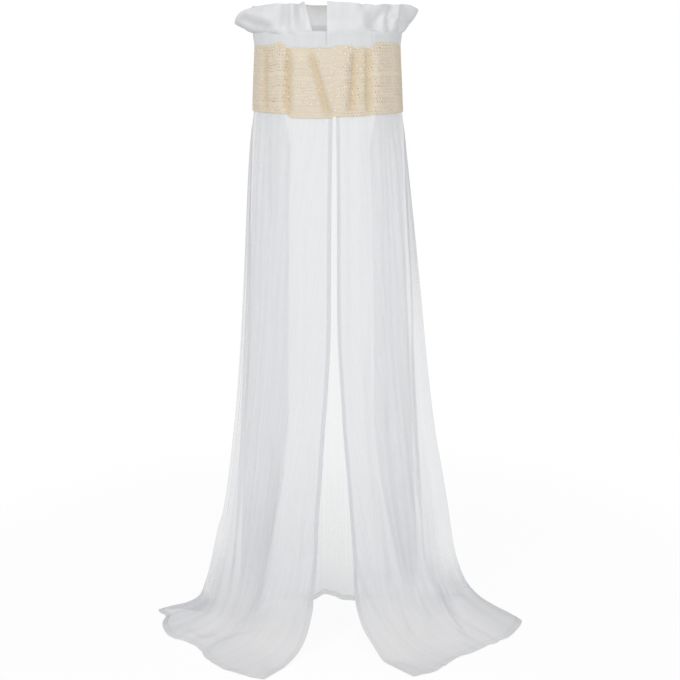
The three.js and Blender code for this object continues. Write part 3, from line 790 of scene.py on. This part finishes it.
rightCurtain = {
    "name": "right_curtain",
    "hem": [(385, 30), (504, -4), (503, -18), (489, -52), (468, -89), (454, -106), (437, -115),
            (427, -125), (404, -137), (364, -170), (316, -203), (262, -262), (206, -291)],
    "outer": [(1205, 0.05), (914, 0.155), (660, 0.235), (502, 0.298), (340, 0.376), (229, 0.43),
              (173, 0.473), (117, 0.548), (74, 0.66), (46, 0.78), (18, 0.923)],
    "slit": [(1126, 0.01), (889, 0.012), (767, 0.024), (645, 0.064), (562, 0.09), (445, 0.144),
             (343, 0.185), (240, 0.226), (134, 0.255), (75, 0.35), (45, 0.47), (17, 0.603), (5, 0.75)],
    "outerTo": 0.42,
    "thin": (0.5, 0.66),
    "thinShares": [(85, 1), (112, 0.2), (200, 0.2), (340, 0.3), (900, 0.35), (1060, 0.6), (1320, 0.85)],
    "thinLower": 40 * mm,
    "rearPart": (0.35, 0.43),
    "cut": (0.28, 0.69),
    "folds": [
        (-7, 9, 4, [(371, 300), (374, 431), (386, 518), (401, 585), (417, 620)]),
        (4, 9, 7, [(364, 320), (366, 430), (376, 520), (390, 585), (404, 614)]),
        (-4, 4, 4, [(388, 380), (393, 451), (403, 528), (417, 598)]),
        (3, 4, 3, [(381, 380), (385, 451), (395, 528), (409, 592)]),
        (-8, 5, 8, [(409, 300), (414, 400), (417, 498), (430, 565), (450, 620)]),
        (8, 7, 7, [(418, 490), (424, 540), (433, 592), (441, 616)]),
        (-6, 5, 5, [(436, 510), (442, 560), (450, 590), (464, 626)]),
        (-4, 4, 4, [(425, 430), (434, 498), (445, 550), (457, 585), (473, 606)]),
        (3, 4, 4, [(438, 430), (446, 500), (455, 550), (470, 590)]),
        (7, 10, 2.5, [(436, 580), (442, 602), (449, 616), (457, 627), (464, 634)]),
        (5, 2.5, 9, [(416, 578), (420, 602), (421, 622), (419, 640)]),
        (4, 8, 3, [(392, 580), (398, 604), (403, 620), (410, 636)]),
        (4, 6, 2, [(358, 580), (364, 602), (374, 617), (386, 630)]),
        (4, 3, 7, [(418, 641), (430, 635), (444, 633), (458, 637), (470, 642)]),
        (-5, 6, 4, [(350, 530), (358, 580), (368, 604), (382, 630), (396, 647)]),
        (4, 4, 6, [(357, 540), (366, 580), (376, 602), (390, 626), (404, 642)]),
        (-11, 8, 14, [(352, 590), (362, 628), (380, 655), (404, 672), (420, 676)]),
        (-3, 8, 5, [(372, 122), (372, 200), (373, 290)]),
        (3, 5, 4, [(394, 130), (398, 200), (403, 300)]),
        (-2, 4, 4, [(352, 150), (352, 300), (354, 460)])],
    "seed": 60,
}


def layersAt(z, table):
    return np.interp((z - floorZ) / mm, [row[0] for row in table], [row[1] for row in table])


def profile(table, reach, t):  # share of the way out and height, evenly spaced along a fall of cloth
    table = [(drape["fall"], 0), *table, (0, 1)]
    line = smoothLine([(share * reach, height * mm) for height, share in table], 12)[0]
    along = alongLine(line)
    out = onLine(line, along, t * along[-1])
    return out[..., 0] / reach, out[..., 1]


def clothGrid(columns, rows):  # u across and t down, with rows of its own for the floor hem
    hemShare = 1 - drape["floorHem"] / (drape["top"] - drape["hem"])
    t = np.concatenate([np.linspace(0, hemShare, rows, endpoint=False),
                        np.linspace(hemShare, 1, drape["hemRows"])])
    return np.broadcast_arrays(np.linspace(0, 1, columns)[None, :], t[:, None])


# The smooth surface from seam (u = 0) to slit (u = 1) and from band (t = 0) to hem (t = 1)
def curtainBase(side, c, u, t):
    ring = lerp(0.25 * side, shareAt(drape["slitTop"][side]), u ** drape["crowding"])
    inside = lerp(*drape["tuck"], ease((t - 0.008) / 0.03)) * mm
    top = bandFoot(ring) - (onHoop(ring, inside) - onHoop(ring))
    hem = smoothLine([(side * drape["seamFoot"][0], drape["seamFoot"][1]), *(np.array(c["hem"]) * mm)])[0]
    hemAlong = alongLine(hem)
    foot = onLine(hem, hemAlong, u * hemAlong[-1])
    outer, slitEdge = [profile(c[edge], reach, t) for edge, reach in zip(("outer", "slit"), drape["reach"])]
    spread, height = [lerp(a, b, between(u, c["outerTo"], 1)) for a, b in zip(outer, slitEdge)]
    raised = height / (drape["fall"] * mm)
    spread = lerp(1 - raised, spread, ease(u / 0.14))  # straight at the seam
    return inRoom(lerp(top, foot, spread[..., None]), lerp(drape["hem"], drape["top"], raised))


def stitchRow(name, line, out):  # short stitches on the cloth along a line
    along = alongLine(line)
    lift = np.array([-stitch["sunk"], stitch["proud"], stitch["proud"], -stitch["sunk"]])[:, None]
    paths = []
    for start in np.arange(0, along[-1] - stitch["pitch"], stitch["pitch"]):
        at = start + np.array([0, 0.3, 0.7, 1]) * stitch["length"]
        normal = onLine(out, along, at)
        paths.append((onLine(line, along, at) + normal * lift, normal))
    return threadMesh(name, paths, stitch["radius"], 4, sewingThread)


def gathers(u, t, seed, count, spacing, drift):
    phase = u * count + wander(u * spacing[0], seed) * spacing[1]
    return np.sin(2 * math.pi * (phase + wander2(u * drift[0], t * drift[1], seed + 1) * 0.5))


def curtainRelief(c, base, flat, u, t):
    seed = c["seed"]
    waves = gathers(u, t, seed, *drape["gathers"]) * (0.7 + 0.5 * wander2(u * 9, t * 3, seed + 2))
    waves = waves * lerp(*drape["gatherDepth"], ease(t / 0.6)) * mm * lerp(1, 0.45, ease((u - 0.66) / 0.1))
    broad = wander2(u * 7, t * 2.4, seed + 3) * drape["broadDepth"] * ease(t / 0.3)
    free = t - drape["covered"]
    # Nothing stands out at the seam and the slit, and less on the floor
    grow = ease(free / 0.05) * ease(u / 0.05) * ease((1 - u) / 0.03) * lerp(1, 0.6, ease((t - 0.85) / 0.1))
    folds = photoFolds(base, c["folds"]) * ease(free / 0.02) * ease(u / 0.04)
    fine = drape["crinkleDepth"] * ease(free / 0.02) * lerp(1, 0.4, ease((t - 0.82) / 0.1))
    return (waves + broad) * grow + folds + crinkles(flat, seed + 5) * fine


def makeCurtain(side, c):
    u, t = clothGrid(drape["columns"], drape["rows"])
    base = curtainBase(side, c, u, t)
    outward = surfaceNormals(base) * side
    length = float(np.linalg.norm(np.diff(base[:, drape["columns"] // 2], axis=0), axis=1).sum())
    flat = np.stack([(u - 0.5) * lerp(*c["cut"], t) + c["cut"][1] / 2, (1 - t) * length], -1)
    points = base + outward * curtainRelief(c, base, flat, u, t)[..., None]
    ripple = sum(high * ease(0.5 + wander(u * count, c["seed"] + 7 + k))
                 for k, (count, high) in enumerate(drape["ripples"]))
    floorLevel = drape["hem"] + ripple * ease((u - 0.1) / 0.1)
    points[..., 2] = np.maximum(points[..., 2], floorLevel)
    behind = 1 - between(u, *c["rearPart"])
    thin = layersAt(points[..., 2] + c["thinLower"] * behind, c["thinShares"])
    thin = lerp(thin, 1, between(u, *c["thin"]))
    layers = layersAt(points[..., 2], drape["frontLayers"]) * thin
    piece = clothMesh("voile_" + c["name"], points, flat, voileCloth, layers=layers)
    lifted = points + outward * drape["hemLift"]
    hemRow = -drape["hemRows"]
    slitColumn = -1 - drape["slitHemColumns"]
    above, whole = slice(None, hemRow + 1), slice(None)
    parts = [piece]
    # The part of the cloth that is doubled, the edge that is sewn, and what it is worth at least
    for tag, cut, edge, least in (
            ("_floor_hem", (slice(hemRow, None), whole), (hemRow, whole), 0),
            ("_slit_hem", (above, slice(slitColumn, None)), (above, slitColumn), drape["hemLayers"])):
        hem = clothMesh(c["name"] + tag, lifted[cut], flat[cut], voileCloth,
                        layers=np.maximum(least, layers[cut]))
        parts += [hem, stitchRow(c["name"] + tag + "_stitches", lifted[edge], outward[edge])]
    for part in parts:
        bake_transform(part)
    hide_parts(c["name"])


makeCurtain(-1, leftCurtain)
makeCurtain(1, rightCurtain)
print("curtains ready")


rear = {
    # mm; a pleat on either side folds in, out to the seam and in again
    "top": [(176, 0), (98, 66), (172, 30), (100, 90), (40, 104), (-5, 110), (-45, 104), (-100, 90),
            (-172, 30), (-88, 68), (-176, 0)],
    "hem": [(236.5, 10), (205, 60), (241, 46), (160, 112), (45, 111), (-13, 147), (-46, 111), (-150, 112),
            (-241, 46), (-185, 64), (-236.5, 10)],
    # The cloth falls straight at the seams, and lies late towards the hem in the pleats' inner turns and
    # the middle: share of the fall, then of the way from the top's place to the hem's
    "lateFall": [(0, 0), (0.2, 0.1), (0.4, 0.15), (0.61, 0.17), (0.72, 0.33), (0.81, 0.55), (0.95, 0.92),
                 (1, 1)],
    "late": [0, 1, 0, 0.6, 1, 1, 1, 0.6, 0, 1, 0],  # how much each point above follows the late fall
    "inset": (1.5 * mm, 7 * mm),  # inside the band's face at the top, least and most
    "width": 1.1,
    "gathers": (15, (9, 0.8), (5, 1.5)),
    "gatherDepth": 1.6 * mm,
    "hemLayers": 0.4,
    "columns": 560,
    "rows": 120,
    "seed": 90,
}


def makeRear():
    hem, knots = smoothLine(np.array(rear["hem"]) * mm)
    top = smoothLine(np.array(rear["top"]) * mm)[0]
    hemAlong = alongLine(hem)
    u, t = clothGrid(rear["columns"], rear["rows"])
    at = np.interp(u * hemAlong[-1], hemAlong, knots)
    topPlan, footPlan = onLine(top, knots, at), onLine(hem, knots, at)
    # Under the band the pleats lie flat along the ring
    ringAngle = np.arctan2(oval[:, 1], oval[:, 0])
    order = np.argsort(ringAngle)
    angle = np.arctan2(topPlan[..., 1], topPlan[..., 0])
    ringAt = np.interp(angle, ringAngle[order], ovalAlong[order]) / girth
    onBand = bandFoot(ringAt)
    size = np.linalg.norm(onBand, axis=-1)
    inset = np.clip(size - np.linalg.norm(topPlan, axis=-1), *rear["inset"])
    topPlan = lerp(onBand * (1 - inset / size)[..., None], topPlan, ease(t / 0.08)[..., None])
    late = np.interp(t, *np.transpose(rear["lateFall"]))
    lateness = ease(np.interp(at, np.arange(len(rear["late"])), rear["late"]))
    z = lerp(drape["top"], drape["hem"], t)
    base = inRoom(lerp(topPlan, footPlan, lerp(t, late, lateness)[..., None]), z)
    outward = surfaceNormals(base)
    length = drape["top"] - drape["hem"]
    flat = np.stack([u * rear["width"], (1 - t) * length], -1)
    seed = rear["seed"]
    grow = ease(t / 0.06) * ease(u / 0.04) * ease((1 - u) / 0.04)
    grow = grow * (0.6 + 0.6 * wander2(u * 9, t * 3, seed + 2))
    relief = gathers(u, t, seed, *rear["gathers"]) * rear["gatherDepth"] * grow
    relief = relief + crinkles(flat, seed + 5) * drape["crinkleDepth"] * ease(t / 0.02)
    points = base + outward * relief[..., None]
    points[..., 2] = np.maximum(z, drape["hem"])
    layers = layersAt(points[..., 2], drape["rearLayers"])
    piece = clothMesh("voile_back_drape", points, flat, voileCloth, layers=layers)
    lifted = points + outward * drape["hemLift"]
    hemRow = -drape["hemRows"]
    floorHem = clothMesh("back_drape_floor_hem", lifted[hemRow:], flat[hemRow:], voileCloth,
                         layers=rear["hemLayers"])
    stitches = stitchRow("back_drape_hem_stitches", lifted[hemRow], outward[hemRow])
    for part in (piece, floorHem, stitches):
        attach(part, "crown")
    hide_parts("back_drape")


makeRear()
print("rear drape ready")


# Heading: casing and ruffle

heading = {
    "casingProfile": [  # mm outwards and up, from the foot over the tube and down inside
        (4.4, -31), (5.2, -22), (6.7, -11), (7.4, -3), (7.2, 3), (4.6, 6.4), (0, 7.4), (-4.8, 5.8),
        (-7.4, 0), (-5.6, -8), (0.5, -18), (3.6, -31)],
    "casingFullness": 1.3,
    "casingLayers": 2.4,
    "lap": 7 * mm,  # how far the left end lies under the right one at the mouth
    "wrinkleDepth": 0.8 * mm,
    "columns": 760,
    "seed": 120,
    "rootUp": 0.5 * mm,  # the ruffle's seam on the casing
    "rootOut": 7.8 * mm,
    "halfThickness": 1.3 * mm,
    "wide": 63 * mm,  # from the seam to the folded edge, flat
    "hemDeep": 9 * mm,
    "ruffleFullness": 1.5,
    "ruffleRound": 0.96,  # the share of the way round that it covers
    "ruffleLayers": (1.1, 2.6),  # at the rear, where light comes through, and at the front
    "ruffleEnds": (0.0, -30.0, -50.0),  # mm from the middle: right end, left end at its root and top
    # share round from the front middle; how far out and up the top edge is; the same half way, mm
    "ruffle": [
        (0, 10, 71, 5, 36), (0.025, 12, 69, 8, 35), (0.055, 9, 68, 6, 35), (0.078, 12, 66, 10, 34),
        (0.10, 5, 62, 2, 32), (0.122, 6, 62, -6, 31), (0.145, 16, 65, 6, 32), (0.165, 10, 64, 2, 32),
        (0.185, 22, 64, 16, 33), (0.205, 18, 65, 8, 31), (0.225, 30, 63, 20, 29), (0.242, 44, 55, 28, 27),
        (0.258, 45, 50, 27, 25), (0.28, 28, 57, 10, 30), (0.30, 36, 56, 18, 32), (0.33, 14, 66, 1, 36),
        (0.36, 27, 62, 16, 34), (0.39, 7, 67, -3, 36), (0.42, 19, 65, 12, 34), (0.45, 3, 67, -4, 36),
        (0.48, -6, 65, 7, 35), (0.51, -8, 64, 10, 35), (0.54, -9, 64, 10, 35), (0.57, -3, 66, 5, 36),
        (0.60, 14, 65, 3, 36), (0.63, 25, 62, 15, 34), (0.66, 11, 66, -1, 36), (0.69, 29, 61, 16, 33),
        (0.71, 20, 62, 6, 33), (0.73, 44, 40, 27, 20), (0.75, 49, 22, 29, 11), (0.768, 48, 36, 36, 17),
        (0.787, 38, 50, 34, 24), (0.805, 24, 57, 28, 26), (0.83, 14, 61, 26, 27), (0.855, 10, 65, 22, 26),
        (0.875, 11, 66, 14, 28), (0.893, 4, 65, -1, 33), (0.912, 12, 66, 10, 34), (0.928, 5, 65, 0, 33),
        (0.94, 7, 70, -2, 35), (0.953, 2, 66, -8, 34), (0.97, 0, 64, -9, 33), (1.0, 5, 66, 0, 33)],
    "folds": [
        (-4, 4, 3, [(286, 0), (286, 12), (287, 22), (288, 30)]),
        (-8, 6, 4, [(299, 0), (302, 13), (306, 25), (309, 34)]),
        (-10, 5, 5, [(388, 0), (385, 10), (379, 18), (373, 26), (368, 33)]),
        (3, 5, 4, [(378, 4), (374, 12), (369, 20), (364, 30)]),
        (-4, 3, 3, [(397, 14), (391, 19), (387, 25), (387, 34)]),
        (-4, 3, 3, [(399, 18), (395, 26), (392, 32), (389, 38)]),
        (-3, 5, 5, [(366, 0), (362, 7), (358, 14), (352, 24)]),
        (3, 4, 4, [(364, 8), (364, 16), (363, 28)]),
        (-3, 3, 4, [(404, 0), (403, 10), (401, 18)]),
        (-3, 3, 3, [(410, 20), (406, 26), (402, 32)]),
        (-12, 5, 5, [(236, 19), (244, 20), (254, 24), (264, 28), (276, 31)]),
        (4, 4, 5, [(238, 12), (250, 12), (262, 16), (274, 20)])],
}


def headingWrinkles(share):
    seed = heading["seed"]
    return (0.75 * wander(share * 70, seed) + 0.35 * wander(share * 160, seed + 1)) * heading["wrinkleDepth"]


def makeCasing():
    h = heading
    share = np.linspace(0, 1 + h["lap"] / girth, h["columns"])[None, :]
    share, around = np.broadcast_arrays(share, np.linspace(0, 1, 47)[:, None])
    section = smoothLine(np.array(h["casingProfile"]) * mm)[0]
    along = alongLine(section)
    at = onLine(section, along, around * along[-1])
    side = np.where(around < 0.5, 1, -1)
    lapped = ease((share - 1 + 12 * mm / girth) / (10 * mm / girth))
    relief = headingWrinkles(share) + 0.4 * mm - 1.1 * mm * lapped
    relief = side * relief * ease(np.minimum(around, 1 - around) / 0.1)
    start = 0.8 * mm * (1 - ease(share / (6 * mm / girth))) * side
    points = hoopPoint(share, at[..., 0] + relief + start, at[..., 1])
    width = girth * h["casingFullness"]
    flat = np.stack([share * width, around * along[-1]], -1)
    piece = clothMesh("voile_hoop_casing", points, flat, headingCloth, layers=h["casingLayers"])
    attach(piece, "crown")
    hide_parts("hoop_casing")


def makeRuffle():
    h = heading
    turn = np.linspace(-1, 1, 65)[:, None]  # up the inner layer, over the top fold, down the outer layer
    rise = np.sin((1 - np.abs(turn)) * math.pi / 2) ** 0.85
    right, leftRoot, leftTop = [shareAt(x * mm) for x in h["ruffleEnds"]]
    span = 1 + lerp(leftRoot, leftTop, rise**0.8) - right
    share = right + np.linspace(0, 1, h["columns"])[None, :] * span
    rise, share, turn = np.broadcast_arrays(rise, share, turn)
    # The share counts 900 here, as long as the hoop in mm, so that the line's knots are spaced well
    table = smoothLine([(s * 900, *row) for s, *row in h["ruffle"]], 20)[0]
    topOut, topUp, midOut, midUp = np.moveaxis(onLine(table[:, 1:], table[:, 0], share * 900), -1, 0) * mm
    first, middle, last = (1 - rise) * (1 - 2 * rise), 4 * rise * (1 - rise), rise * (2 * rise - 1)
    small = wander2(share * 60, rise * 2.2, h["seed"] + 4) * 1.5 * mm * ease(rise * 1.6)
    out = topOut * last + midOut * middle + small
    up = h["rootUp"] * first + topUp * last + midUp * middle
    front = ease((20 * mm - onHoop(share)[..., 1]) / (20 * mm))
    towards = photoFolds(hoopPoint(share, out, up), h["folds"]) * front
    thick = lerp(h["rootOut"], h["halfThickness"], ease((rise - 0.05) / 0.4))
    thick = thick * np.sqrt(np.clip(1 - rise**8, 0, 1))
    layer = np.sign(turn) * (thick + (headingWrinkles(share) + 0.4 * mm) * (1 - rise) ** 1.5)
    points = hoopPoint(share, out + layer, up)
    points[..., 1] -= towards
    width = girth * h["ruffleFullness"]
    flat = np.stack([share * width, turn * h["wide"]], -1)
    piece = clothMesh("voile_ruffle", points, flat, headingCloth, layers=lerp(*h["ruffleLayers"], front))
    outward = surfaceNormals(points)
    seam = stitchRow("ruffle_seam_stitches", points[-2], outward[-2])
    hemRow = int(np.argmin(np.abs(turn[:, 0] * h["wide"] - h["hemDeep"])))
    hem = stitchRow("ruffle_hem_stitches", points[hemRow], outward[hemRow])
    for part in (piece, seam, hem):
        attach(part, "crown")
    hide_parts("ruffle")


makeCasing()
makeRuffle()
print("heading ready")


# Metalwork of the hoop and arm, which the CAD nodes keep

# Polyester powder coat on steel: white satin with a fine orange peel from its baking
powderCoat = grainMaterial("whitePowderCoat", (1.1 * mm, 1.1 * mm), ("#EDEEEE", "#F3F3F1"),
                           {"Roughness": 0.34}, mottle=(40 * mm, 40 * mm), bump=(0.25, 0.12 * mm),
                           rougher=0.12)
# Bright zinc plate on steel tube, fittings and screws: cool metal with fine marks from drawing
zincPlate = grainMaterial("brightZincPlate", (0.5 * mm, 2.5 * mm), ("#B9BDC4", "#D3D6DB"),
                          {"Roughness": 0.24, "Metallic": 1.0}, bump=(0.3, 0.05 * mm), rougher=0.15)
for finish, names in ((powderCoat, ("wall_plate", "support_arm")),
                      (zincPlate, ("rear_tee", "hoop_left", "hoop_right", "front_spigot", "tee_screw",
                                   "plate_screw"))):
    for name in names:
        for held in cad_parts[name].material_slots:
            held.material = finish
print("metal ready")
